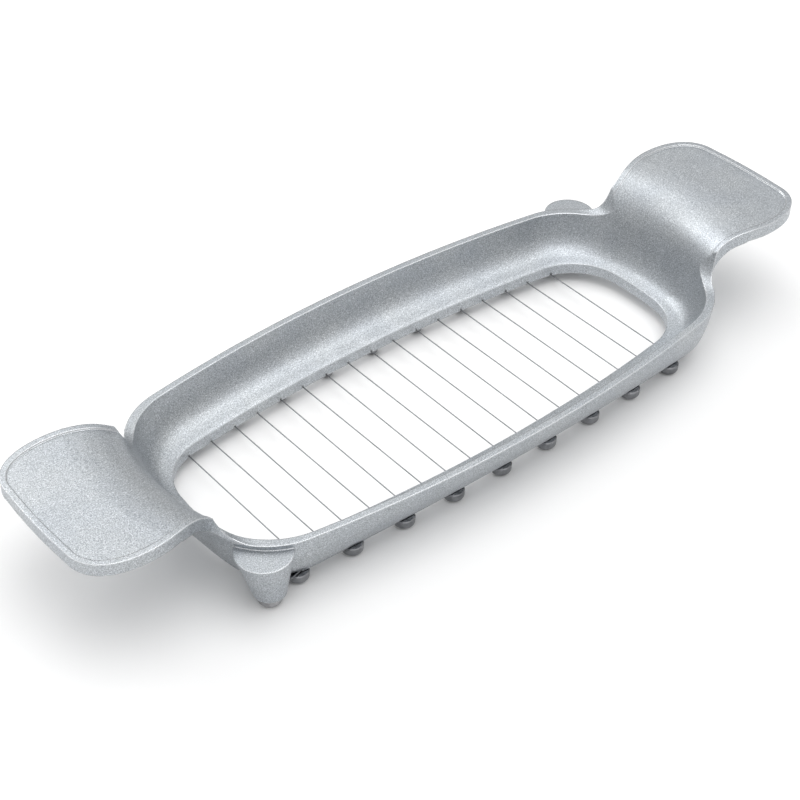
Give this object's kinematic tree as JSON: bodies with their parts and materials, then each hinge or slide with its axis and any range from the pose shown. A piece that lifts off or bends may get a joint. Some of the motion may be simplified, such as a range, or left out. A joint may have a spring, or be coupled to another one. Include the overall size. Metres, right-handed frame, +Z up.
{
  "type": "egg slicer",
  "caption": "Long two-handled wire slicer: a cast boat-shaped dish with an open floor, crossed by one taut cutting wire laced between studs.",
  "frame": {"origin": "middle of the footprint, on the surface that the stud heads and clamp screws stand on", "axes": "+X along the handles, +Y across the dish, +Z up out of the dish; the near row of studs is on -Y"},
  "size_m": [0.2836, 0.0924, 0.0351],
  "materials": {
    "casting": "satin, lightly speckled cast surface",
    "stud": "polished",
    "screw": "polished",
    "washer": "plain",
    "wire": "drawn"
  },
  "bodies": {
    "root": {"tray_frame": "casting", "cutting_wire": "wire", "near_lacing_stud_1": "stud", "near_lacing_stud_2": "stud", "near_lacing_stud_3": "stud", "near_lacing_stud_4": "stud", "near_lacing_stud_5": "stud", "near_lacing_stud_6": "stud", "near_lacing_stud_7": "stud", "near_lacing_stud_8": "stud", "near_lacing_stud_9": "stud", "far_lacing_stud_1": "stud", "far_lacing_stud_2": "stud", "far_lacing_stud_3": "stud", "far_lacing_stud_4": "stud", "far_lacing_stud_5": "stud", "far_lacing_stud_6": "stud", "far_lacing_stud_7": "stud", "far_lacing_stud_8": "stud", "far_lacing_stud_9": "stud", "near_clamp_washer": "washer", "far_clamp_washer": "washer", "near_clamp_screw": "screw", "far_clamp_screw": "screw"}
  },
  "joints": []
}
